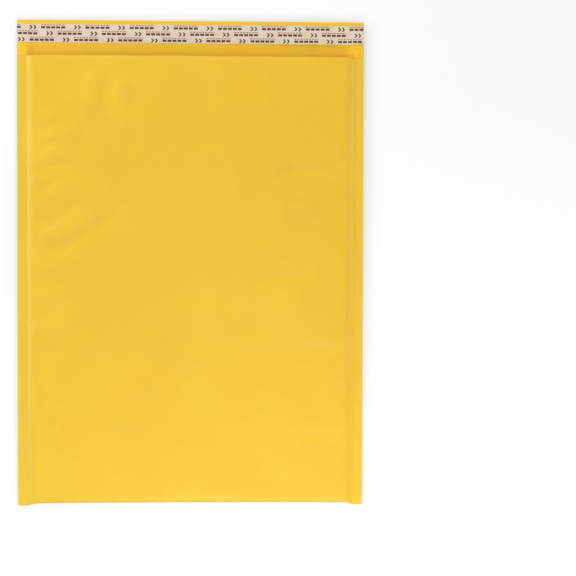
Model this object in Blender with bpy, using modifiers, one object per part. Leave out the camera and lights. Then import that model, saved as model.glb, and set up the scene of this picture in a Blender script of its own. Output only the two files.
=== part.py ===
"""Bubble mailer: kraft paper folded at the bottom, lined with bubble film and sealed down both sides.

It lies on its back, as an empty one does on a table: +X across the width, +Y towards the flap, +Z up.
The origin is on the table, under the middle of the bounding box.
"""

import math

import bmesh
import bpy

# Driving dimensions, in metres.
MAILER_WIDTH = 0.362  # side edge to side edge
POCKET_LENGTH = 0.471  # bottom fold to mouth
FLAP_LENGTH = 0.037  # mouth to the flap's free edge
SEAM_WIDTH = 0.010  # flat heat-sealed strip down each side
RAMP_WIDTH = 0.009  # from a seam to where the bubbles stand at full height
BUBBLE_THICKNESS = 0.0035  # one leaf of bubble film
PAPER_THICKNESS = 0.00025
WELD_THICKNESS = 0.0002  # both leaves of film, melted together in a seam
POCKET_HEIGHT = 0.0064  # empty space between the two leaves of film, mid-pocket
FOLD_POCKET_HEIGHT = 0.0046  # the same at the bottom fold
MOUTH_POCKET_HEIGHT = 0.0056  # the same at the mouth
FOLD_TAPER = 0.150  # the pocket fills out over this distance from the bottom fold
MOUTH_TAPER = 0.190  # and over this distance from the mouth
CONTACT_GAP = 0.0001  # between sheets that touch
FOLD_GAP = 0.0004  # film stops this far short of the paper inside the bottom fold
LINING_SETBACK = 0.003  # film stops this far below the mouth
POCKET_INSET = 0.002  # the film's leaves part this far inside a seam
FLAP_LIFT = 0.0036  # the flap's free edge stands this far off the table, level with the seams

LINER_WIDTH = 0.019  # peel-off strip over the glue
LINER_MARGIN = 0.004  # from that strip to the flap's free edge
LINER_THICKNESS = 0.00015
GLUE_WIDTH = 0.012
GLUE_END = 0.006  # glue stops this far from each side edge
GLUE_THICKNESS = 0.0003

MERGE_DISTANCE = 1e-6  # points closer than this are one

# How finely each sheet is divided.
RAMP_COLUMNS = 6
PANEL_COLUMNS = 6  # from a ramp to the centre line
PANEL_ROWS = 14
FOLD_ROWS = 4  # from a leaf to the tip of the fold

# Linear colours.
KRAFT_GOLD = (0.84, 0.53, 0.045)
FILM_CLEAR = (0.83, 0.80, 0.70)
LINER_BEIGE = (0.77, 0.64, 0.51)
GLUE_AMBER = (0.80, 0.70, 0.42)

HALF_WIDTH = MAILER_WIDTH / 2
PANEL_EDGE = HALF_WIDTH - SEAM_WIDTH
BOTTOM_Y = -(POCKET_LENGTH + FLAP_LENGTH) / 2
MOUTH_Y = BOTTOM_Y + POCKET_LENGTH
FLAP_Y = MOUTH_Y + FLAP_LENGTH
POCKET_FLOOR = PAPER_THICKNESS + CONTACT_GAP + BUBBLE_THICKNESS
LINER_MIDDLE = FLAP_Y - LINER_MARGIN - LINER_WIDTH / 2
TURN_DRAW = math.pi / 2 - 1  # a round turn draws a sheet in by this share of its radius
FRONT, BACK = 1, -1
CROWN_POWER = 4  # higher is flatter in the middle of the pocket
RAMP_POWER = 2  # higher is steeper at the seam and rounder at the top of a ramp


def smooth(share):
    """0 to 1 with level ends."""
    share = min(max(share, 0.0), 1.0)
    return share * share * (3 - 2 * share)


def clearance(x, y):
    """Empty height between the two leaves of film, fullest in the middle of the pocket."""
    across = 1 - min(abs(x) / PANEL_EDGE, 1) ** CROWN_POWER
    less_at_fold = (POCKET_HEIGHT - FOLD_POCKET_HEIGHT) * smooth(1 - (y - BOTTOM_Y) / FOLD_TAPER)
    less_at_mouth = (POCKET_HEIGHT - MOUTH_POCKET_HEIGHT) * smooth(1 - (MOUTH_Y - y) / MOUTH_TAPER)
    return across * (POCKET_HEIGHT - less_at_fold - less_at_mouth)


def pocket_wall(x):
    """The pocket's own surface stands off itself by nothing."""
    return 0.0


def film_outside(x):
    """Depth of one leaf of film at x: melted thin in a seam, rounding over to full depth up a ramp."""
    weld = WELD_THICKNESS / 2
    short_of_top = min(max(1 - (PANEL_EDGE - abs(x)) / RAMP_WIDTH, 0), 1)
    return weld + (BUBBLE_THICKNESS - weld) * (1 - short_of_top**RAMP_POWER)


def paper_inside(x):
    """Distance from the pocket to the side of the paper that faces the film."""
    return film_outside(x) + CONTACT_GAP


def leaf(x, side, standoff, end_y, fold_gap=0.0):
    """Points from the tip of the bottom fold to end_y, standing off the pocket by standoff(x)."""
    half = clearance(x, BOTTOM_Y) / 2
    paper_radius = half + paper_inside(x) + PAPER_THICKNESS
    seam_radius = paper_inside(HALF_WIDTH) + PAPER_THICKNESS
    turn_y = BOTTOM_Y + paper_radius + TURN_DRAW * (paper_radius - seam_radius)
    radius = half + standoff(x)
    reach = max(radius - fold_gap, radius / 2)
    points = []
    for row in range(FOLD_ROWS):
        turn = math.pi / 2 * row / FOLD_ROWS
        y = turn_y - reach * math.cos(turn)
        points.append((x, y, POCKET_FLOOR + half + side * radius * math.sin(turn)))
    for row in range(PANEL_ROWS + 1):
        y = turn_y + (end_y - turn_y) * row / PANEL_ROWS
        inner = POCKET_FLOOR + (clearance(x, y) if side == FRONT else 0.0)
        points.append((x, y, inner + side * standoff(x)))
    return points


def flap_height(x, y):
    """Height of the flap's upper face, from the back leaf's section at its fold to a level free edge."""
    at_mouth = POCKET_FLOOR - paper_inside(x)
    at_edge = PAPER_THICKNESS + FLAP_LIFT
    return at_mouth + (at_edge - at_mouth) * (y - MOUTH_Y) / FLAP_LENGTH


def columns(edge):
    """Stations across the width, out to edge on both sides, closer together over the ramps."""
    ramp_top = PANEL_EDGE - RAMP_WIDTH
    right = [ramp_top * n / PANEL_COLUMNS for n in range(PANEL_COLUMNS)]
    right += [ramp_top + RAMP_WIDTH * n / RAMP_COLUMNS for n in range(RAMP_COLUMNS + 1)]
    right = [x for x in right if x < edge - POCKET_INSET / 4] + [edge]
    return [-x for x in reversed(right[1:])] + right


def strip_edges(width):
    """The two long edges, in y, of a strip centred under the peel-off liner."""
    return LINER_MIDDLE - width / 2, LINER_MIDDLE + width / 2


def flap_rows():
    """Stations along the flap, on the edges of the strips that it carries."""
    liner_low, liner_high = strip_edges(LINER_WIDTH)
    glue_low, glue_high = strip_edges(GLUE_WIDTH)
    return [(MOUTH_Y + liner_low) / 2, liner_low, glue_low, glue_high, liner_high, FLAP_Y]


def paint(obj, color, roughness):
    material = bpy.data.materials.new(obj.name)
    material.use_nodes = True
    shader = material.node_tree.nodes["Principled BSDF"]
    shader.inputs["Base Color"].default_value = (*color, 1)
    shader.inputs["Roughness"].default_value = roughness
    shader.inputs["Metallic"].default_value = 0
    obj.data.materials.append(material)


def split_quads(obj):
    """Sheets that lie on each other bend along the same diagonals, so that they never cross."""
    obj.modifiers.new("Diagonals", "TRIANGULATE").quad_method = "SHORTEST_DIAGONAL"


def sheet(name, rows, collection, thickness):
    """A flat grid whose points move to rows of stations, thickened on the side that its normals face."""
    bpy.ops.mesh.primitive_grid_add(x_subdivisions=len(rows[0]) - 1, y_subdivisions=len(rows) - 1)
    obj = bpy.context.object
    obj.name = obj.data.name = name
    places = [point for row in rows for point in row]
    for vertex, place in zip(obj.data.vertices, places, strict=True):
        vertex.co = place
    move_to(obj, collection)
    split_quads(obj)
    solidify = obj.modifiers.new("Thickness", "SOLIDIFY")
    solidify.thickness = thickness
    solidify.offset = 1
    solidify.use_even_offset = True
    obj.data.shade_smooth()
    return obj


def folded_slab(name, stations, standoff, end_y, fold_gap, collection):
    """A solid between a back and a front leaf that meet in the bottom fold."""
    leaves = {}
    for side in (FRONT, BACK):
        leaves[side] = [leaf(x, side, standoff, end_y, fold_gap) for x in stations]
    last_column, last_row = len(stations) - 1, FOLD_ROWS + PANEL_ROWS
    mesh = bmesh.new()
    bmesh.ops.create_grid(mesh, x_segments=last_column, y_segments=last_row, size=1)
    behind = set(mesh.verts)
    bmesh.ops.extrude_face_region(mesh, geom=mesh.faces[:])
    for vertex in mesh.verts:
        column = round((vertex.co.x + 1) / 2 * last_column)
        row = round((vertex.co.y + 1) / 2 * last_row)
        vertex.co = leaves[BACK if vertex in behind else FRONT][column][row]
    bmesh.ops.remove_doubles(mesh, verts=mesh.verts, dist=MERGE_DISTANCE)
    bmesh.ops.recalc_face_normals(mesh, faces=mesh.faces)
    data = bpy.data.meshes.new(name)
    mesh.to_mesh(data)
    mesh.free()
    obj = bpy.data.objects.new(name, data)
    collection.objects.link(obj)
    return obj


def move_to(obj, collection):
    for old in obj.users_collection:
        old.objects.unlink(obj)
    collection.objects.link(obj)


def make_kraft_shell(collection):
    """One sheet of paper: down the flap and the back, round the bottom fold and up the front."""
    stations = columns(HALF_WIDTH)
    back = [leaf(x, BACK, paper_inside, MOUTH_Y) for x in stations]
    front = [leaf(x, FRONT, paper_inside, MOUTH_Y) for x in stations]
    rows = [[(x, y, flap_height(x, y)) for x in stations] for y in reversed(flap_rows())]
    rows += [list(row) for row in reversed(list(zip(*back)))]
    rows += [list(row) for row in list(zip(*front))[1:]]
    shell = sheet("kraft_shell", rows, collection, PAPER_THICKNESS)
    paint(shell, KRAFT_GOLD, 0.5)


def make_bubble_lining(collection, cutters):
    """Bubble film in the same fold, its two leaves welded together in the seams and parted by the pocket."""
    film_end = MOUTH_Y - LINING_SETBACK
    lining = folded_slab("bubble_lining", columns(HALF_WIDTH), film_outside, film_end, FOLD_GAP, collection)
    pocket_end = MOUTH_Y + LINING_SETBACK
    pocket_edge = PANEL_EDGE - POCKET_INSET
    pocket = folded_slab("pocket_cutter", columns(pocket_edge), pocket_wall, pocket_end, 0.0, cutters)
    pocket.hide_render = True
    pocket.display_type = "WIRE"
    split_quads(lining)
    cut = lining.modifiers.new("Pocket", "BOOLEAN")
    cut.object = pocket
    cut.operation = "DIFFERENCE"
    cut.solver = "EXACT"
    paint(lining, FILM_CLEAR, 0.25)


def make_glue_strip(collection):
    """Hot-melt glue along the flap's inner face."""
    rows = []
    for y in strip_edges(GLUE_WIDTH):
        rows.append([(x, y, flap_height(x, y) + CONTACT_GAP) for x in columns(HALF_WIDTH - GLUE_END)])
    paint(sheet("glue_strip", rows, collection, GLUE_THICKNESS), GLUE_AMBER, 0.2)


def make_release_liner(collection):
    """Peel-off strip the full width of the flap: up over the glue, its long edges resting on the paper."""
    over_glue = CONTACT_GAP + GLUE_THICKNESS + CONTACT_GAP
    liner_low, liner_high = strip_edges(LINER_WIDTH)
    glue_low, glue_high = strip_edges(GLUE_WIDTH)
    section = [
        (liner_low, CONTACT_GAP),
        (glue_low, over_glue),
        (glue_high, over_glue),
        (liner_high, CONTACT_GAP),
    ]
    rows = []
    for y, rise in section:
        rows.append([(x, y, flap_height(x, y) + rise) for x in columns(HALF_WIDTH)])
    paint(sheet("release_liner", rows, collection, LINER_THICKNESS), LINER_BEIGE, 0.35)


def main():
    for obj in list(bpy.data.objects):
        bpy.data.objects.remove(obj)
    mailer = bpy.data.collections.new("bubble_mailer")
    cutters = bpy.data.collections.new("cutters")
    for collection in (mailer, cutters):
        bpy.context.scene.collection.children.link(collection)
    make_kraft_shell(mailer)
    make_bubble_lining(mailer, cutters)
    make_glue_strip(mailer)
    make_release_liner(mailer)


main()
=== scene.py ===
"""Looks of a bubble mailer: golden kraft paper over clear bubble film, lying on a white table.

Lengths are in metres. +X runs across the mailer, +Y towards its flap, and the table is at height 0.
"""

import math

import bmesh
import bpy
import numpy as np
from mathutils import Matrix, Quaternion, Vector
from mathutils.geometry import delaunay_2d_cdt


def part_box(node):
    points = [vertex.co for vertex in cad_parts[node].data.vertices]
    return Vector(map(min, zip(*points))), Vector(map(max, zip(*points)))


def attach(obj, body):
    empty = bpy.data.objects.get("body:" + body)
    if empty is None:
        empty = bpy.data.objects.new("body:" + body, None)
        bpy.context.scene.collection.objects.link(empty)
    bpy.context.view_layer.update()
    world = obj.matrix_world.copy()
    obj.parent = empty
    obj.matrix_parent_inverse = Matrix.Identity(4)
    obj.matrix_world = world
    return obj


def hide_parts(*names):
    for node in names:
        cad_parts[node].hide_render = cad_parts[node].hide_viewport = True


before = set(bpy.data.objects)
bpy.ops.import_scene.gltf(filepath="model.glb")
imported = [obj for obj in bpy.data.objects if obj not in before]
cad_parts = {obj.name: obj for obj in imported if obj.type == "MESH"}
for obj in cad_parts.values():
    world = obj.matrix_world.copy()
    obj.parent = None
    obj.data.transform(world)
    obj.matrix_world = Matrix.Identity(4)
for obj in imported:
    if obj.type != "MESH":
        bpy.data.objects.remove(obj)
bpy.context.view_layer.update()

MM = 0.001
BODY = "root"

# The mailer's sizes, as its solids have them.
SHELL_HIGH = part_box("kraft_shell")[1]
LINER_BOX_LOW, LINER_BOX_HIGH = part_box("release_liner")
HALF_WIDTH = SHELL_HIGH.x
FLAP_Y = SHELL_HIGH.y
BOTTOM_Y = -FLAP_Y
LINER_LOW = LINER_BOX_LOW.y
LINER_HIGH = LINER_BOX_HIGH.y
FLAP_LENGTH = 0.037
SEAM_WIDTH = 0.010
RAMP_WIDTH = 0.009
BUBBLE_THICKNESS = 0.0035
PAPER_THICKNESS = 0.00025
WELD_THICKNESS = 0.0002
POCKET_HEIGHT = 0.0064
FOLD_POCKET_HEIGHT = 0.0046
MOUTH_POCKET_HEIGHT = 0.0056
FOLD_TAPER = 0.150
MOUTH_TAPER = 0.190
CONTACT_GAP = 0.0001
FOLD_GAP = 0.0004
LINING_SETBACK = 0.003
FLAP_LIFT = 0.0036
LINER_THICKNESS = 0.00015
GLUE_THICKNESS = 0.0003
CROWN_POWER = 4
RAMP_POWER = 1.35  # the ramps are straighter than the solids' and inside them
TURN_DRAW = math.pi / 2 - 1
PANEL_EDGE = HALF_WIDTH - SEAM_WIDTH
RAMP_TOP = PANEL_EDGE - RAMP_WIDTH
MOUTH_Y = FLAP_Y - FLAP_LENGTH
POCKET_FLOOR = PAPER_THICKNESS + CONTACT_GAP + BUBBLE_THICKNESS
FRONT, BACK = 1, -1
LEFT, RIGHT = -1, 1

# How finely the paper is divided.
SEAM_COLUMNS = 5
RAMP_COLUMNS = 11
HALF_PANEL_COLUMNS = 64
FLAP_ROWS = 12
BACK_ROWS = 66
FOLD_ROWS = 14
FRONT_ROWS = 180
ROLL_ROWS = 8

# Soft undulations: height and wavelength. Each is a sum of waves whose lengths spread about that one.
WAVES, LEAST_WAVE, LONGEST_WAVE = 16, 0.7, 1.5
BROAD_HEIGHT, BROAD_LENGTH = 0.35 * MM, 95 * MM
MIDDLE_HEIGHT, MIDDLE_LENGTH = 0.25 * MM, 32 * MM
FINE_HEIGHT, FINE_LENGTH = 0.075 * MM, 10 * MM
IMPRINT_HEIGHT = 0.03 * MM  # how far the bubbles show through the paper
BACK_LIFT, BACK_LENGTH = 0.12 * MM, 50 * MM
SEAM_WAVE, SEAM_WAVE_LENGTH = 0.12 * MM, 110 * MM
CALM_EDGE = 9 * MM  # relief fades out over this distance from a seam
CALM_FOLD = 40 * MM  # and from the bottom fold
MOUTH_SAG, SAG_LENGTH = 2.4 * MM, 80 * MM  # the front leaf sinks this far over this length before the mouth
MOUTH_ROLL, ROLL_LENGTH = 1.8 * MM, 5 * MM  # and its edge curls down as well
CREASE_SCALE = 5.0  # deepens all the creases alike
FADE_IN = 0.4  # share of its length over which a crease that starts inside the panel deepens
SINK = 1.2 * MM  # the front leaf lies this far below its even form, and ridges rise back to it
CREASE_ROOM = 0.9  # share of the pocket's height that relief keeps within
PROUD = 0.35 * MM  # ridges rise this far above the solids' highest face at most
LEAST_POCKET = 0.1 * MM  # counts as the pocket's height where it is less
LIMIT_POWER = 4  # how sharply relief is held back at its limits

# Creases in the front leaf, in millimetres: depth (a ridge is negative), width, and the points that each
# bends towards, from its deep end.
BEND_STEPS = 6
CREASES = [
    (0.70, 6, [(-167, 35), (-137, 48), (-108, 66)]),
    (0.75, 8, [(-167, 8), (-130, 16), (-98, 26), (-57, 80)]),
    (-0.30, 10, [(-146, 60), (-123, 84)]),
    (0.55, 5, [(-167, 95), (-150, 99), (-122, 106)]),
    (0.45, 4, [(-167, 72), (-150, 78), (-134, 92)]),
    (0.55, 6, [(-167, 136), (-148, 142), (-130, 150)]),
    (0.40, 4, [(-167, 114), (-150, 121), (-134, 132)]),
    (0.40, 5, [(-167, 156), (-150, 164), (-128, 170)]),
    (-0.50, 9, [(-99, 214), (-98, 178), (-106, 148), (-140, 124)]),
    (0.55, 14, [(-167, 178), (-150, 190), (-132, 206)]),
    (0.36, 10, [(-86, 212), (-86, 180), (-82, 150)]),
    (-0.26, 8, [(-71, 212), (-73, 170), (-76, 130)]),
    (0.80, 18, [(10, 200), (13, 170), (2, 120)]),
    (-0.50, 26, [(70, 200), (72, 150), (66, 100)]),
    (0.70, 9, [(76, 92), (120, 95), (172, 99)]),
    (-0.50, 10, [(74, 58), (115, 62), (165, 72)]),
    (0.60, 9, [(92, 40), (130, 44), (172, 46)]),
    (-0.45, 12, [(34, 6), (62, 12), (124, 20)]),
    (0.70, 10, [(62, -20), (110, -12), (172, -1)]),
    (-0.45, 14, [(56, -60), (96, -46), (152, -34)]),
    (0.55, 9, [(70, -94), (120, -91), (172, -91)]),
    (-0.45, 18, [(120, -120), (70, -140), (30, -160)]),
    (0.40, 6, [(-167, -21), (-150, -20), (-135, -14)]),
    (-0.25, 6, [(-155, -38), (-130, -30), (-112, -22)]),
    (0.45, 6, [(-167, -58), (-148, -54), (-130, -46)]),
    (-0.25, 7, [(-155, -74), (-135, -64), (-116, -50)]),
    (0.50, 6, [(-167, -92), (-150, -94), (-128, -92)]),
    (0.30, 16, [(-20, 10), (10, -20), (24, -60)]),
    (0.35, 14, [(-62, -70), (-64, -110), (-76, -140)]),
    (0.40, 7, [(-167, -178), (-150, -172), (-124, -160)]),
    (0.40, 7, [(167, -190), (146, -184), (116, -182)]),
]
# Where the left and the right ramp are pushed in: along the mailer, in millimetres.
LEFT_DENTS = [152, 80, 24, -7, -48, -81, -132, -177]
RIGHT_DENTS = [110, 92, 47, 18, -62, -150]
DENT_X, DENT_DEPTH, DENT_WIDTH = 162 * MM, 0.8 * MM, 4 * MM
# A shallow trough along the top of the left ramp.
SHOULDER_X, SHOULDER_DEPTH, SHOULDER_WIDTH = -161 * MM, 0.35 * MM, 6 * MM

# Bubble film.
BUBBLE_PITCH = 0.012
BUBBLE_DIAMETER = 0.0102
SHOULDER_RADIUS, SHOULDER_HEIGHT = 0.88, 0.62  # shares of a bubble's radius and height
TOP_RADIUS, TOP_HEIGHT = 0.55, 0.96
BUBBLE_SLACK = 0.10  # the emptiest bubble is lower by this share
BUBBLE_SEED = 41
FILM_SKIN = 0.00002  # from the pocket to the flat layer of film
FILM_CLEARANCE = 0.00003  # from the bubbles to the face of the film's solid
LAND_SHARE = 0.05  # height between bubbles, as a share of theirs
SKIN_PITCH = 0.009
SKIN = -1.0  # marks a point of the flat layer
FOLD_ARC = math.pi / 2 * (FOLD_POCKET_HEIGHT + BUBBLE_THICKNESS) / 2
WELD_MERGE = 0.00001
SHARP_PAPER, SHARP_FILM = math.radians(50), math.radians(60)

# Peel-off liner.
LINER_COLUMNS, LINER_ROWS = 200, 16
LINER_EDGE_SHARE = 0.18  # each long edge slopes down to the paper over this share of the width
LINER_RIPPLE, LINER_RIPPLE_LENGTH = 0.03 * MM, 22 * MM
PUCKER_HEIGHT, PUCKER_X, PUCKER_WIDTH = 1.3 * MM, 125 * MM, 38 * MM
PUCKER_RIPPLE, PUCKER_RIPPLE_LENGTH = 0.25, 18 * MM  # how far the pucker's height varies, as a share

# The strip's print, in millimetres. Its rows repeat along the strip, each shifted against the one below.
PRINT_ROWS, PRINT_PERIOD, ROW_SHIFT = 3, 46.0, 0.37
PRINT_START = 20.0  # whole periods, which keep places along the strip positive
ARROW_PITCH, ARROW_SPAN, ARROW_LINE = 4.0, (4.0, 12.0), (1.5, 3.3)
ARROW_SLANT, ARROW_HALF_HEIGHT, ARROW_DROP = 0.8, 2.1, 0.3
BAR_PITCH, BAR_SPAN, BAR_SHARE, BAR_HEIGHTS = 5.2, (15.6, 41.6), (0.08, 0.88), (-1.6, 0.7)
DASH_PITCH, DASH_SHARE, DASH_HEIGHTS = 3.1, (0.15, 0.85), (1.5, 2.6)

# Grain of the papers: scales of noise, in cycles a metre, and how much of the tone the fibres make.
KRAFT_FIBRES, KRAFT_CLOUDS, KRAFT_FLECKS, KRAFT_TOOTH = 1500.0, 14.0, 520.0, 260.0
KRAFT_FIBRE_SHARE, KRAFT_TOOTH_SHARE = 0.45, 0.8
FLECK_COVER, FLECK_SHADE = (0.22, 0.22, 0.22), 0.8
LINER_FIBRES, LINER_CLOUDS, LINER_FIBRE_SHARE = 1300.0, 70.0, 0.4
BLACK = (0, 0, 0)

# Linear colours.
KRAFT_DARK, KRAFT_LIGHT = (0.840, 0.504, 0.019), (0.870, 0.542, 0.024)
# The paper's inside face, which the flap shows: partly its own more orange tone, partly painted light,
# lighter in red than the outside to brighten the flap where the front leaf's mouth shades it.
INSIDE_DARK_WITH_PAINTED_LIGHT, INSIDE_LIGHT_WITH_PAINTED_LIGHT = (0.925, 0.515, 0.016), (0.955, 0.550, 0.022)
EDGE_DARK, EDGE_LIGHT = (0.84, 0.56, 0.09), (0.90, 0.64, 0.14)
LINER_BASE_DARK, LINER_BASE_LIGHT = (0.74, 0.575, 0.41), (0.82, 0.685, 0.53)
PRINT_DARK = (0.075, 0.003, 0.001)
PRINT_RED = (0.44, 0.16, 0.08)
FILM_DARK, FILM_LIGHT = (0.86, 0.83, 0.74), (0.93, 0.91, 0.85)
GLUE_DARK, GLUE_LIGHT = (0.74, 0.60, 0.30), (0.86, 0.76, 0.50)

# Camera, lamps and table.
CAMERA_PLACE = Vector((0.0509, 0.0145, 1.4354))
# The camera is turned from looking straight down, about this axis, by its length in degrees.
CAMERA_TURN = Vector((-1.576, -2.044, 0.131))
LENS, SENSOR, FAR_CLIP = 85, 36, 50
TABLE_DROP = 0.0003
TABLE_SIZE = 30
TABLE_COLOR = (0.68, 0.68, 0.68)
TABLE_LIFT = 0.315  # what the camera sees is paler by this much
TABLE_NEAR, TABLE_FAR = 0.55, 1.0  # it fades to plain white between these distances from its middle
WHITE, COOL, FRESH = (1, 1, 1), (0.80, 1.0, 1.25), (0.98, 1.03, 1.05)
WORLD_LEVEL = 0.35  # of the white that the camera and reflections see
# Each lamp: name, place, what it faces, width and height, radiance and colour.
LAMPS = [
    ("overhead", (0.10, -0.30, 1.35), (0, -0.10, 0), (1.6, 1.6), 0.64, WHITE),
    ("left", (-1.06, 0.30, 0.44), (0, 0, 0), (1.4, 0.3), 4.5, COOL),
    ("right", (1.15, 0.20, 0.36), (0, 0, 0), (1.1, 0.3), 2.8, WHITE),
    ("beyond_flap", (-0.20, 1.05, 0.38), (0, 0.05, 0), (0.9, 0.35), 4.6, WHITE),
    ("front", (0.15, -0.66, 0.45), (0.05, -0.18, 0), (0.9, 0.3), 3.3, FRESH),
]


def smooth(share):
    """0 to 1 with level ends."""
    share = np.clip(share, 0, 1)
    return share * share * (3 - 2 * share)


def ripples(x, y, length, seed):
    """Smooth random relief, about 1 high, made of waves of about that length in all directions."""
    random = np.random.default_rng(seed)
    height = np.zeros(np.broadcast(x, y).shape)
    for _ in range(WAVES):
        heading, phase = random.uniform(0, math.tau, 2)
        wavelength = length * random.uniform(LEAST_WAVE, LONGEST_WAVE)
        height += np.cos(math.tau * (x * math.cos(heading) + y * math.sin(heading)) / wavelength + phase)
    return height / math.sqrt(WAVES / 2)


def to_line(x, y, points):
    """Distance from a bent line, and how far along it the nearest point is, from 0 to 1."""
    points = [Vector(point) for point in points]
    lengths = [(b - a).length for a, b in zip(points, points[1:])]
    nearest = np.full(np.broadcast(x, y).shape, np.inf)
    along = np.zeros(nearest.shape)
    passed = 0.0
    for a, b, length in zip(points, points[1:], lengths):
        share = np.clip(((x - a.x) * (b.x - a.x) + (y - a.y) * (b.y - a.y)) / length**2, 0, 1)
        distance = np.hypot(x - a.x - share * (b.x - a.x), y - a.y - share * (b.y - a.y))
        along = np.where(distance < nearest, (passed + share * length) / sum(lengths), along)
        nearest = np.minimum(nearest, distance)
        passed += length
    return nearest, along


def bent(points):
    """A smooth curve that starts and ends at the first and last point and bends towards the others."""
    points = [Vector(point) for point in points]
    made = []
    for step in range(BEND_STEPS + 1):
        level = points
        while len(level) > 1:
            level = [a.lerp(b, step / BEND_STEPS) for a, b in zip(level, level[1:])]
        made.append(level[0])
    return made


def clearance(x, y):
    """Empty height between the two leaves of film, fullest in the middle of the pocket."""
    across = 1 - np.minimum(np.abs(x) / PANEL_EDGE, 1) ** CROWN_POWER
    less_at_fold = (POCKET_HEIGHT - FOLD_POCKET_HEIGHT) * smooth(1 - (y - BOTTOM_Y) / FOLD_TAPER)
    less_at_mouth = (POCKET_HEIGHT - MOUTH_POCKET_HEIGHT) * smooth(1 - (MOUTH_Y - y) / MOUTH_TAPER)
    return across * (POCKET_HEIGHT - less_at_fold - less_at_mouth)


def film_outside(x):
    """Depth of one leaf of film at x: melted thin in a seam, rounding over to full depth up a ramp."""
    weld = WELD_THICKNESS / 2
    short_of_top = np.clip(1 - (PANEL_EDGE - np.abs(x)) / RAMP_WIDTH, 0, 1)
    return weld + (BUBBLE_THICKNESS - weld) * (1 - short_of_top**RAMP_POWER)


def paper_inside(x):
    """Distance from the pocket to the side of the paper that faces the film."""
    return film_outside(x) + CONTACT_GAP


def turn_y(x):
    """Where a leaf ends and the bottom fold begins."""
    radius = clearance(x, BOTTOM_Y) / 2 + paper_inside(x) + PAPER_THICKNESS
    seam_radius = paper_inside(HALF_WIDTH) + PAPER_THICKNESS
    return BOTTOM_Y + radius + TURN_DRAW * (radius - seam_radius)


def calm(x, y):
    """0 in the seams and at the bottom fold, 1 over the rest of a leaf."""
    return smooth((PANEL_EDGE - np.abs(x)) / CALM_EDGE) * smooth((y - BOTTOM_Y - CALM_EDGE) / CALM_FOLD)


def imprint(x, y):
    """Where the bubbles press on the paper: 1 over a bubble's middle, falling to 0 between bubbles."""
    row_pitch = BUBBLE_PITCH * math.sqrt(3) / 2
    lowest, highest = -1.5, 3.0  # of three such waves together
    waves = 0
    for heading in (math.pi / 2, math.pi / 6, -math.pi / 6):
        place = x * math.cos(heading) + (y - BOTTOM_Y) * math.sin(heading)
        waves = waves + np.cos(math.tau * place / row_pitch)
    return np.clip((waves - lowest) / (highest - lowest), 0, 1)


def limited(height, down, up):
    """Keeps a height between -down and up, and hardly changes it well inside them."""
    room = np.where(height < 0, down, up)
    return height / (1 + (height / room) ** LIMIT_POWER) ** (1 / LIMIT_POWER)


def front_relief(x, y):
    """How far the front leaf lies above or below its even form."""
    height = BROAD_HEIGHT * ripples(x, y, BROAD_LENGTH, seed=11)
    height += MIDDLE_HEIGHT * ripples(x, y, MIDDLE_LENGTH, seed=12)
    height += FINE_HEIGHT * ripples(x, y, FINE_LENGTH, seed=13)
    height += IMPRINT_HEIGHT * imprint(x, y)
    for depth, width, points in CREASES:
        distance, along = to_line(x / MM, y / MM, bent(points))
        from_edge = abs(points[0][0]) * MM >= RAMP_TOP
        strength = (1 - along**2) * (1 if from_edge else smooth(along / FADE_IN))
        height -= CREASE_SCALE * depth * MM * np.exp(-((distance / width) ** 2)) * strength
    for side, places in ((LEFT, LEFT_DENTS), (RIGHT, RIGHT_DENTS)):
        for place in places:
            distance = np.hypot(x - side * DENT_X, y - place * MM)
            height -= DENT_DEPTH * np.exp(-((distance / DENT_WIDTH) ** 2))
    height -= SHOULDER_DEPTH * np.exp(-(((x - SHOULDER_X) / SHOULDER_WIDTH) ** 2))
    height -= MOUTH_SAG * smooth((y - MOUTH_Y + SAG_LENGTH) / SAG_LENGTH)
    height -= MOUTH_ROLL * np.clip((y - MOUTH_Y + ROLL_LENGTH) / ROLL_LENGTH, 0, 1) ** 2
    pocket = clearance(x, y)
    height -= SINK * pocket / POCKET_HEIGHT
    down = CREASE_ROOM * np.maximum(pocket, LEAST_POCKET)
    return calm(x, y) * limited(height, down, PROUD + POCKET_HEIGHT - pocket)


def back_relief(x, y):
    """How far the back leaf is lifted off the table."""
    fullness = clearance(x, y) / POCKET_HEIGHT * smooth((MOUTH_Y - y) / CALM_FOLD)
    return BACK_LIFT * np.maximum(ripples(x, y, BACK_LENGTH, seed=21), 0) * calm(x, y) * fullness


def seam_wave(x, y):
    """Both leaves rise and dip together along a seam, away from the flap."""
    side = np.sign(x) * HALF_WIDTH
    outer = smooth((np.abs(x) - RAMP_TOP) / (HALF_WIDTH - RAMP_TOP))
    near_flap = smooth((MOUTH_Y - y) / CALM_FOLD)
    return SEAM_WAVE * ripples(side, y, SEAM_WAVE_LENGTH, seed=31) * outer * near_flap


def leaf_height(x, y, side, standoff):
    """Height of a surface that stands off the pocket, on the front or the back leaf."""
    front = POCKET_FLOOR + clearance(x, y) + front_relief(x, y) + standoff
    back = POCKET_FLOOR + back_relief(x, y) - standoff
    return np.where(side == FRONT, front, back) + seam_wave(x, y)


def fold_point(x, angle, standoff, gap=0.0):
    """y and height round the bottom fold, from -90 degrees at the back leaf to 90 at the front one."""
    half = clearance(x, BOTTOM_Y) / 2
    radius = half + standoff
    reach = np.maximum(radius - gap, radius / 2)
    y = turn_y(x) - reach * np.cos(angle)
    return y, POCKET_FLOOR + half + radius * np.sin(angle) + seam_wave(x, y)


def flap_height(x, y):
    """Height of the flap's upper face, from the back leaf's section at its fold to a level free edge."""
    at_mouth = POCKET_FLOOR - paper_inside(x)
    at_edge = PAPER_THICKNESS + FLAP_LIFT
    return at_mouth + (at_edge - at_mouth) * (y - MOUTH_Y) / FLAP_LENGTH


def add_mesh(name, points, faces):
    mesh = bpy.data.meshes.new(name)
    mesh.from_pydata([tuple(point) for point in points], [], faces)
    obj = bpy.data.objects.new(name, mesh)
    bpy.context.scene.collection.objects.link(obj)
    return obj


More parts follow.
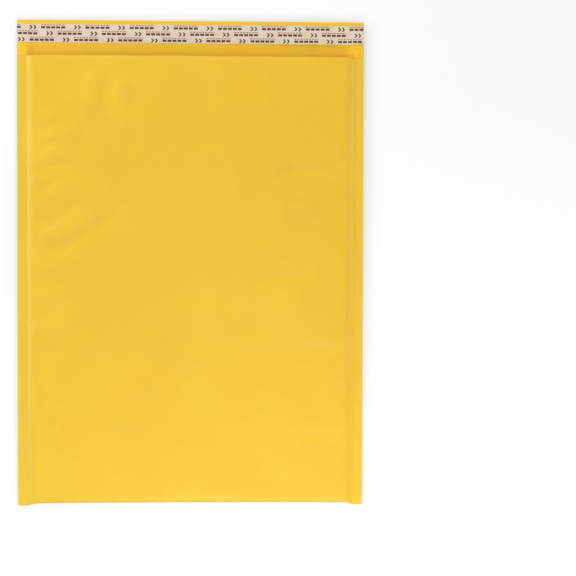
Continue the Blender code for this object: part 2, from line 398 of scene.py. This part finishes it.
def add_grid(name, rows):
    """A sheet through rows of points, which face up where the rows go towards +Y."""
    points = np.array(rows)
    row_count, column_count = points.shape[:2]
    faces = []
    for row in range(row_count - 1):
        for first in range(row * column_count, (row + 1) * column_count - 1):
            faces.append((first, first + 1, first + column_count + 1, first + column_count))
    return add_mesh(name, points.reshape(-1, 3), faces)


def thicken(obj, thickness):
    """Adds thickness on the side that the sheet faces. Slots: that side, the other side, the cut edge."""
    solidify = obj.modifiers.new("Thickness", "SOLIDIFY")
    solidify.thickness = thickness
    solidify.offset = 1
    solidify.use_even_offset = True
    solidify.material_offset = 1
    solidify.material_offset_rim = 2
    evaluated = obj.evaluated_get(bpy.context.evaluated_depsgraph_get())
    thick = bpy.data.meshes.new_from_object(evaluated)
    obj.modifiers.clear()
    obj.data = thick
    thick.shade_smooth()
    thick.set_sharp_from_angle(angle=SHARP_PAPER)


def mirrored(values):
    """Stations from the centre out, repeated on the other side."""
    return np.concatenate([-values[:0:-1], values])


def paper_columns():
    panel = np.linspace(0, RAMP_TOP, HALF_PANEL_COLUMNS, endpoint=False)
    ramp = np.linspace(RAMP_TOP, PANEL_EDGE, RAMP_COLUMNS, endpoint=False)
    seam = np.linspace(PANEL_EDGE, HALF_WIDTH, SEAM_COLUMNS + 1)
    return mirrored(np.concatenate([panel, ramp, seam]))


def make_paper():
    """One sheet: down the flap and the back, round the bottom fold and up the front."""
    x = paper_columns()
    standoff = paper_inside(x)
    turn = turn_y(x)

    def leaf_row(side, y):
        return np.stack([x, y, leaf_height(x, y, side, standoff)], -1)

    rows = []
    for y in np.linspace(FLAP_Y, MOUTH_Y, FLAP_ROWS, endpoint=False):
        rows.append(np.stack([x, np.full(x.shape, y), flap_height(x, y)], -1))
    for share in np.linspace(1, 0, BACK_ROWS, endpoint=False):
        rows.append(leaf_row(BACK, turn + (MOUTH_Y - turn) * share))
    for angle in np.linspace(-math.pi / 2, math.pi / 2, FOLD_ROWS, endpoint=False):
        y, height = fold_point(x, angle, standoff)
        rows.append(np.stack([x, y, height], -1))
    roll_start = MOUTH_Y - ROLL_LENGTH
    for share in np.linspace(0, 1, FRONT_ROWS, endpoint=False):
        rows.append(leaf_row(FRONT, turn + (roll_start - turn) * share))
    for y in np.linspace(roll_start, MOUTH_Y, ROLL_ROWS + 1):
        rows.append(leaf_row(FRONT, np.full(x.shape, y)))

    paper = add_grid("kraft_paper_shell", rows)
    for material in (kraft_outside(), kraft_inside_painted_light(), kraft_edge()):
        paper.data.materials.append(material)
    thicken(paper, PAPER_THICKNESS)
    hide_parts("kraft_shell")
    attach(paper, BODY)


def ring(count, radius, height):
    """Points round a circle, the first on a corner of a film cell."""
    turns = [math.pi / 6 + math.tau * n / count for n in range(count)]
    return [(radius * math.cos(turn), radius * math.sin(turn), height) for turn in turns]


def bubble_cell():
    """One six-sided cell of flat film with its bubble: faces, and points across, along and 0 to 1 high."""
    radius = BUBBLE_DIAMETER / 2
    points = ring(6, BUBBLE_PITCH / math.sqrt(3), 0)
    points += ring(12, radius, 0)
    points += ring(12, radius * SHOULDER_RADIUS, SHOULDER_HEIGHT)
    points += ring(6, radius * TOP_RADIUS, TOP_HEIGHT)
    corner, base, shoulder, top = 0, 6, 18, 30
    faces = [tuple(top + n for n in range(6))]
    for n in range(6):
        following = (n + 1) % 6
        low, middle, high = 2 * n, 2 * n + 1, (2 * n + 2) % 12
        faces.append((corner + n, corner + following, base + middle))
        faces.append((corner + n, base + middle, base + low))
        faces.append((corner + following, base + high, base + middle))
        faces.append((base + low, base + middle, shoulder + middle, shoulder + low))
        faces.append((base + middle, base + high, shoulder + high, shoulder + middle))
        faces.append((shoulder + low, shoulder + middle, top + n))
        faces.append((shoulder + middle, top + following, top + n))
        faces.append((shoulder + middle, shoulder + high, top + following))
    return np.array(points), faces


def flat_film(half_length):
    """Bubble film laid out flat and cut to size: across, along from the bottom fold, and height share."""
    cell, cell_faces = bubble_cell()
    row_pitch = BUBBLE_PITCH * math.sqrt(3) / 2
    last_row = math.ceil(half_length / row_pitch) + 1
    last_column = math.ceil(HALF_WIDTH / BUBBLE_PITCH) + 1
    random = np.random.default_rng(BUBBLE_SEED)
    points, faces = [], []
    for row in range(-last_row, last_row + 1):
        for column in range(-last_column, last_column + 1):
            placed = cell.copy()
            placed[:, 0] += (column + row % 2 / 2) * BUBBLE_PITCH
            placed[:, 1] += row * row_pitch
            placed[:, 2] *= 1 - BUBBLE_SLACK * random.uniform()
            first = len(points) * len(cell)
            points.append(placed)
            faces += [tuple(first + corner for corner in face) for face in cell_faces]
    data = bpy.data.meshes.new("flat_film")
    data.from_pydata(np.concatenate(points).tolist(), [], faces)
    mesh = bmesh.new()
    mesh.from_mesh(data)
    bpy.data.meshes.remove(data)
    bmesh.ops.remove_doubles(mesh, verts=mesh.verts, dist=WELD_MERGE)
    for direction, reach in (((1, 0, 0), HALF_WIDTH), ((0, 1, 0), half_length)):
        for sign in (1, -1):
            normal = Vector(direction) * sign
            cut = {"plane_co": normal * reach, "plane_no": normal, "clear_outer": True}
            bmesh.ops.bisect_plane(mesh, geom=mesh.verts[:] + mesh.edges[:] + mesh.faces[:], **cut)
    return mesh


def close_film(mesh, half_length):
    """Adds the flat layer of film behind the bubbles, joined to them round the cut edge."""
    edges = [edge for edge in mesh.edges if edge.is_boundary]
    wall = bmesh.ops.extrude_edge_only(mesh, edges=edges)["geom"]
    border = [part for part in wall if isinstance(part, bmesh.types.BMVert)]
    for vertex in border:
        vertex.co.z = SKIN
    number = {vertex: n for n, vertex in enumerate(border)}
    border_edges = []
    for part in wall:
        if isinstance(part, bmesh.types.BMEdge) and part.verts[0] in number and part.verts[1] in number:
            border_edges.append((number[part.verts[0]], number[part.verts[1]]))
    places = [vertex.co.xy for vertex in border]
    columns = round(2 * HALF_WIDTH / SKIN_PITCH)
    rows = round(2 * half_length / SKIN_PITCH)
    for row in range(1, rows):
        for column in range(1, columns):
            across = HALF_WIDTH * (2 * column / columns - 1)
            places.append(Vector((across, half_length * (2 * row / rows - 1))))
    found, _, triangles, sources, _, _ = delaunay_2d_cdt(places, border_edges, [], 1, WELD_MERGE / 10)
    vertices = []
    for place, source in zip(found, sources):
        if source and source[0] < len(border):
            vertices.append(border[source[0]])
        else:
            vertices.append(mesh.verts.new((place.x, place.y, SKIN)))
    for triangle in triangles:
        mesh.faces.new([vertices[n] for n in triangle])
    bmesh.ops.recalc_face_normals(mesh, faces=mesh.faces)


def folded(points, panel_run, film_end):
    """Folds flat film into the mailer."""
    x, along, share = points.T
    room = film_outside(x) - FILM_SKIN - FILM_CLEARANCE
    depth = FILM_SKIN + np.where(share == SKIN, 0, room * (LAND_SHARE + (1 - LAND_SHARE) * share))
    angle = np.clip(along / FOLD_ARC, -1, 1) * math.pi / 2
    fold_y, fold_height = fold_point(x, angle, depth, FOLD_GAP)
    up = (np.abs(along) - FOLD_ARC) / panel_run
    y = turn_y(x) + (film_end - turn_y(x)) * np.clip(up, 0, 1)
    height = leaf_height(x, y, np.sign(along), depth)
    in_fold = up < 0
    return np.stack([x, np.where(in_fold, fold_y, y), np.where(in_fold, fold_height, height)], -1)


def make_film():
    """Bubble film folded like the paper, its bubbles against the paper and its flat layer inside."""
    film_end = MOUTH_Y - LINING_SETBACK
    panel_run = film_end - float(turn_y(0.0))
    half_length = FOLD_ARC + panel_run
    mesh = flat_film(half_length)
    close_film(mesh, half_length)
    data = bpy.data.meshes.new("bubble_film")
    mesh.to_mesh(data)
    mesh.free()
    points = np.zeros(len(data.vertices) * 3)
    data.vertices.foreach_get("co", points)
    placed = folded(points.reshape(-1, 3), panel_run, film_end)
    data.vertices.foreach_set("co", placed.astype(np.float32).ravel())
    data.update()
    data.shade_smooth()
    data.set_sharp_from_angle(angle=SHARP_FILM)
    film = bpy.data.objects.new("bubble_film", data)
    bpy.context.scene.collection.objects.link(film)
    data.materials.append(clear_film())
    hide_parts("bubble_lining")
    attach(film, BODY)


def liner_rise(x, y):
    """Height over the flap: up over the glue, down at both long edges, puckered at the right."""
    share = (y - LINER_LOW) / (LINER_HIGH - LINER_LOW)
    over_glue = CONTACT_GAP + GLUE_THICKNESS
    within_edges = smooth(share / LINER_EDGE_SHARE) * smooth((1 - share) / LINER_EDGE_SHARE)
    rise = CONTACT_GAP + over_glue * within_edges
    rise += LINER_RIPPLE * np.maximum(ripples(x, y, LINER_RIPPLE_LENGTH, seed=51), 0)
    varied = 1 + PUCKER_RIPPLE * ripples(x, 0, PUCKER_RIPPLE_LENGTH, seed=52)
    pucker = np.exp(-(((x - PUCKER_X) / PUCKER_WIDTH) ** 2)) * varied
    return rise + PUCKER_HEIGHT * pucker * (1 - share) ** 2


def make_liner():
    """The peel-off strip over the glue."""
    x = np.linspace(-HALF_WIDTH, HALF_WIDTH, LINER_COLUMNS + 1)
    rows = []
    for y in np.linspace(LINER_LOW, LINER_HIGH, LINER_ROWS + 1):
        rows.append(np.stack([x, np.full(x.shape, y), flap_height(x, y) + liner_rise(x, y)], -1))
    liner = add_grid("peel_off_liner", rows)
    printed = liner_paper("liner_front", printed=True)
    plain = liner_paper("liner_back", printed=False)
    for material in (printed, plain, plain):
        liner.data.materials.append(material)
    thicken(liner, LINER_THICKNESS)
    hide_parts("release_liner")
    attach(liner, BODY)


def new_material(name):
    """A material, its node tree and its shader."""
    material = bpy.data.materials.new(name)
    material.use_nodes = True
    return material, material.node_tree, material.node_tree.nodes["Principled BSDF"]


def add_node(tree, kind, inputs=None, **settings):
    """Adds a node. Each input is a value, or a socket to link from."""
    node = tree.nodes.new(kind)
    for name, value in settings.items():
        setattr(node, name, value)
    for name, value in (inputs or {}).items():
        if isinstance(value, bpy.types.NodeSocket):
            tree.links.new(value, node.inputs[name])
        else:
            node.inputs[name].default_value = value
    return node


def calc(tree, operation, *values):
    """The result of a Math node."""
    return add_node(tree, "ShaderNodeMath", dict(enumerate(values)), operation=operation).outputs[0]


def object_place(tree, stretch=(1, 1, 1)):
    """Position in metres, each axis multiplied by stretch."""
    place = add_node(tree, "ShaderNodeTexCoord").outputs["Object"]
    return add_node(tree, "ShaderNodeVectorMath", {0: place, 1: stretch}, operation="MULTIPLY").outputs[0]


def noise(tree, place, scale, detail=3.0, roughness=0.5):
    inputs = {"Vector": place, "Scale": scale, "Detail": detail, "Roughness": roughness}
    return add_node(tree, "ShaderNodeTexNoise", inputs).outputs["Fac"]


def weighed(tree, first, second, share):
    """That share of the first value, and the rest of the second."""
    rest = calc(tree, "MULTIPLY", second, 1 - share)
    return calc(tree, "ADD", calc(tree, "MULTIPLY", first, share), rest)


def ramp(tree, value, low, high, low_color, high_color):
    """Blends two colours as value goes from low to high."""
    node = add_node(tree, "ShaderNodeValToRGB", {"Fac": value})
    for element, position, color in zip(node.color_ramp.elements, (low, high), (low_color, high_color)):
        element.position = position
        element.color = (*color, 1)
    return node.outputs["Color"]


def span(tree, value, low, high):
    """Maps 0 to 1 onto low to high."""
    return add_node(tree, "ShaderNodeMapRange", {"Value": value, "To Min": low, "To Max": high}).outputs[0]


def blend(tree, share, first, second):
    """Mixes two colours."""
    node = add_node(tree, "ShaderNodeMix", data_type="RGBA")
    tree.links.new(share, node.inputs[0])
    for socket, value in ((node.inputs[6], first), (node.inputs[7], second)):
        if isinstance(value, bpy.types.NodeSocket):
            tree.links.new(value, socket)
        else:
            socket.default_value = (*value, 1)
    return node.outputs[2]


def bump(tree, shader, height, depth, strength):
    node = add_node(tree, "ShaderNodeBump", {"Height": height, "Distance": depth, "Strength": strength})
    tree.links.new(node.outputs[0], shader.inputs["Normal"])


def kraft(name, dark, light, rough_low, rough_high):
    """Kraft paper: fibres that lie mostly along the sheet, a cloudy tone and sparse darker flecks."""
    material, tree, shader = new_material(name)
    along = object_place(tree, stretch=(1, 0.3, 1))
    fibres = noise(tree, along, KRAFT_FIBRES, detail=4.0, roughness=0.6)
    clouds = noise(tree, object_place(tree), KRAFT_CLOUDS, detail=4.0)
    tone = weighed(tree, fibres, clouds, KRAFT_FIBRE_SHARE)
    color = ramp(tree, tone, 0.36, 0.64, dark, light)
    flecks = ramp(tree, noise(tree, along, KRAFT_FLECKS, detail=2.0), 0.66, 0.76, BLACK, FLECK_COVER)
    color = blend(tree, flecks, color, tuple(channel * FLECK_SHADE for channel in dark))
    tree.links.new(color, shader.inputs["Base Color"])
    tree.links.new(span(tree, clouds, rough_low, rough_high), shader.inputs["Roughness"])
    tooth = calc(tree, "MULTIPLY", noise(tree, object_place(tree), KRAFT_TOOTH), KRAFT_TOOTH_SHARE)
    bump(tree, shader, calc(tree, "ADD", fibres, tooth), depth=0.03 * MM, strength=0.5)
    shader.inputs["Specular IOR Level"].default_value = 0.36
    return material


def kraft_outside():
    return kraft("kraft_outside", KRAFT_DARK, KRAFT_LIGHT, rough_low=0.37, rough_high=0.45)


# The paper's inside face, with painted light that brightens the flap in the shade in front of the mouth.
def kraft_inside_painted_light():
    return kraft("kraft_inside_painted_light", INSIDE_DARK_WITH_PAINTED_LIGHT, INSIDE_LIGHT_WITH_PAINTED_LIGHT, rough_low=0.52, rough_high=0.62)


def kraft_edge():
    return kraft("kraft_cut_edge", EDGE_DARK, EDGE_LIGHT, rough_low=0.7, rough_high=0.8)


def clear_film():
    """Hazy clear polyethylene with flow lines along the web."""
    material, tree, shader = new_material("clear_bubble_film")
    haze = noise(tree, object_place(tree), scale=90.0, detail=4.0, roughness=0.6)
    lines = noise(tree, object_place(tree, stretch=(1, 0.08, 1)), scale=420.0, detail=2.0)
    tree.links.new(ramp(tree, haze, 0.35, 0.65, FILM_DARK, FILM_LIGHT), shader.inputs["Base Color"])
    tree.links.new(span(tree, haze, 0.12, 0.30), shader.inputs["Roughness"])
    shader.inputs["IOR"].default_value = 1.51
    shader.inputs["Alpha"].default_value = 0.6
    bump(tree, shader, lines, depth=0.05 * MM, strength=0.4)
    return material


def hot_melt():
    """Amber glue with the ripples that it sets in."""
    material, tree, shader = new_material("hot_melt_glue")
    ripple = noise(tree, object_place(tree, stretch=(1, 0.4, 1)), scale=240.0)
    tree.links.new(ramp(tree, ripple, 0.3, 0.7, GLUE_DARK, GLUE_LIGHT), shader.inputs["Base Color"])
    tree.links.new(span(tree, ripple, 0.12, 0.28), shader.inputs["Roughness"])
    shader.inputs["Subsurface Weight"].default_value = 0.15
    shader.inputs["Subsurface Radius"].default_value = (0.002, 0.0015, 0.0006)
    bump(tree, shader, ripple, depth=0.1 * MM, strength=0.6)
    return material


def within(tree, value, ends):
    """1 where value lies between the two ends, else 0."""
    low, high = ends
    above = calc(tree, "GREATER_THAN", value, low)
    return calc(tree, "MULTIPLY", above, calc(tree, "LESS_THAN", value, high))


def repeated(tree, value, pitch):
    """How far value is into its repeat, as a share."""
    return calc(tree, "FRACT", calc(tree, "DIVIDE", value, pitch))


def liner_print(tree):
    """Two masks for the strip's generic print: dark arrowheads and bars, and thin reddish dashes."""
    pitch = (LINER_HIGH - LINER_LOW) / MM / PRINT_ROWS
    place = add_node(tree, "ShaderNodeSeparateXYZ", {0: object_place(tree, (1 / MM,) * 3)})
    x, y = place.outputs[0], place.outputs[1]
    level = calc(tree, "DIVIDE", calc(tree, "SUBTRACT", y, LINER_LOW / MM), pitch)
    row = calc(tree, "FLOOR", level)
    up = calc(tree, "MULTIPLY", calc(tree, "SUBTRACT", calc(tree, "FRACT", level), 0.5), pitch)
    shift = calc(tree, "MULTIPLY", row, ROW_SHIFT)
    shifted = calc(tree, "ADD", calc(tree, "DIVIDE", x, PRINT_PERIOD), shift)
    turns = calc(tree, "FRACT", calc(tree, "ADD", shifted, PRINT_START))
    along = calc(tree, "MULTIPLY", turns, PRINT_PERIOD)

    off_middle = calc(tree, "ABSOLUTE", calc(tree, "ADD", up, ARROW_DROP))
    step = calc(tree, "MULTIPLY", repeated(tree, along, ARROW_PITCH), ARROW_PITCH)
    slanted = calc(tree, "ADD", step, calc(tree, "MULTIPLY", off_middle, ARROW_SLANT))
    low_enough = calc(tree, "LESS_THAN", off_middle, ARROW_HALF_HEIGHT)
    arrows = calc(tree, "MULTIPLY", within(tree, slanted, ARROW_LINE), low_enough)
    arrows = calc(tree, "MULTIPLY", arrows, within(tree, along, ARROW_SPAN))

    in_bars = within(tree, along, BAR_SPAN)
    bar_step = repeated(tree, along, BAR_PITCH)
    bars = calc(tree, "MULTIPLY", within(tree, bar_step, BAR_SHARE), within(tree, up, BAR_HEIGHTS))
    dark = calc(tree, "MAXIMUM", arrows, calc(tree, "MULTIPLY", bars, in_bars))
    dash_step = repeated(tree, along, DASH_PITCH)
    dashes = calc(tree, "MULTIPLY", within(tree, dash_step, DASH_SHARE), within(tree, up, DASH_HEIGHTS))
    red = calc(tree, "MULTIPLY", dashes, in_bars)
    return dark, red


def liner_paper(name, printed):
    """Glassine-like release paper with long fibres, printed on its outer face."""
    material, tree, shader = new_material(name)
    along = object_place(tree, stretch=(0.25, 1, 1))
    fibres = noise(tree, along, LINER_FIBRES, detail=4.0, roughness=0.6)
    clouds = noise(tree, object_place(tree), LINER_CLOUDS)
    tone = weighed(tree, fibres, clouds, LINER_FIBRE_SHARE)
    color = ramp(tree, tone, 0.34, 0.66, LINER_BASE_DARK, LINER_BASE_LIGHT)
    if printed:
        dark, red = liner_print(tree)
        inked = span(tree, fibres, 0.85, 1.0)
        color = blend(tree, calc(tree, "MULTIPLY", red, inked), color, PRINT_RED)
        color = blend(tree, calc(tree, "MULTIPLY", dark, inked), color, PRINT_DARK)
    tree.links.new(color, shader.inputs["Base Color"])
    tree.links.new(span(tree, clouds, 0.28, 0.4), shader.inputs["Roughness"])
    bump(tree, shader, fibres, depth=0.02 * MM, strength=0.4)
    shader.inputs["Specular IOR Level"].default_value = 0.08
    return material


def finish_glue():
    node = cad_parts["glue_strip"]
    material = hot_melt()
    for slot in node.material_slots:
        slot.material = material


def add_camera():
    data = bpy.data.cameras.new("camera")
    data.lens = LENS
    data.sensor_width = SENSOR
    data.clip_end = FAR_CLIP
    camera = bpy.data.objects.new("camera", data)
    camera.location = CAMERA_PLACE
    camera.rotation_mode = "QUATERNION"
    camera.rotation_quaternion = Quaternion(CAMERA_TURN, math.radians(CAMERA_TURN.length))
    bpy.context.scene.collection.objects.link(camera)
    bpy.context.scene.camera = camera


def add_lamp(name, place, target, size, radiance, color):
    """A rectangular lamp of that brightness, facing the target."""
    data = bpy.data.lights.new(name, "AREA")
    data.shape = "RECTANGLE"
    data.size, data.size_y = size
    data.energy = radiance * math.pi * size[0] * size[1]
    data.color = color
    lamp = bpy.data.objects.new(name, data)
    lamp.location = place
    lamp.visible_camera = False
    lamp.rotation_euler = (Vector(target) - Vector(place)).to_track_quat("-Z", "Y").to_euler()
    bpy.context.scene.collection.objects.link(lamp)


def add_world():
    """An even white studio. What the camera and reflections see is plain white."""
    world = bpy.data.worlds.new("studio")
    bpy.context.scene.world = world
    world.use_nodes = True
    tree = world.node_tree
    rays = add_node(tree, "ShaderNodeLightPath")
    seen = calc(tree, "MAXIMUM", rays.outputs["Is Camera Ray"], rays.outputs["Is Glossy Ray"])
    seen = calc(tree, "MAXIMUM", seen, rays.outputs["Is Transmission Ray"])
    tree.links.new(span(tree, seen, WORLD_LEVEL, 1.0), tree.nodes["Background"].inputs["Strength"])
    tree.nodes["Background"].inputs["Color"].default_value = (*WHITE, 1)


def add_table():
    """A wide white surface that keeps the mailer's shadow."""
    bpy.ops.mesh.primitive_plane_add(size=TABLE_SIZE, location=(0, 0, -TABLE_DROP))
    table = bpy.context.object
    table.name = "table"
    material, tree, shader = new_material("white_table")
    tree.nodes.remove(shader)
    rays = add_node(tree, "ShaderNodeLightPath")
    seen = rays.outputs["Is Camera Ray"]
    lift = calc(tree, "MULTIPLY", seen, TABLE_LIFT)
    matt = add_node(tree, "ShaderNodeBsdfDiffuse", {"Color": (*TABLE_COLOR, 1)})
    glow = add_node(tree, "ShaderNodeEmission", {"Strength": lift})
    near = add_node(tree, "ShaderNodeAddShader", {0: matt.outputs[0], 1: glow.outputs[0]})
    length = add_node(tree, "ShaderNodeVectorMath", {0: object_place(tree)}, operation="LENGTH")
    ends = {"Value": length.outputs["Value"], "From Min": TABLE_NEAR, "From Max": TABLE_FAR}
    away = add_node(tree, "ShaderNodeMapRange", ends, interpolation_type="SMOOTHSTEP").outputs[0]
    white = add_node(tree, "ShaderNodeEmission")
    both = {0: calc(tree, "MULTIPLY", away, seen), 1: near.outputs[0], 2: white.outputs[0]}
    mixed = add_node(tree, "ShaderNodeMixShader", both)
    tree.links.new(mixed.outputs[0], tree.nodes["Material Output"].inputs["Surface"])
    table.data.materials.append(material)


add_camera()
make_paper()
make_film()
make_liner()
finish_glue()
add_world()
for lamp in LAMPS:
    add_lamp(*lamp)
add_table()
bpy.context.scene.view_settings.view_transform = "Standard"
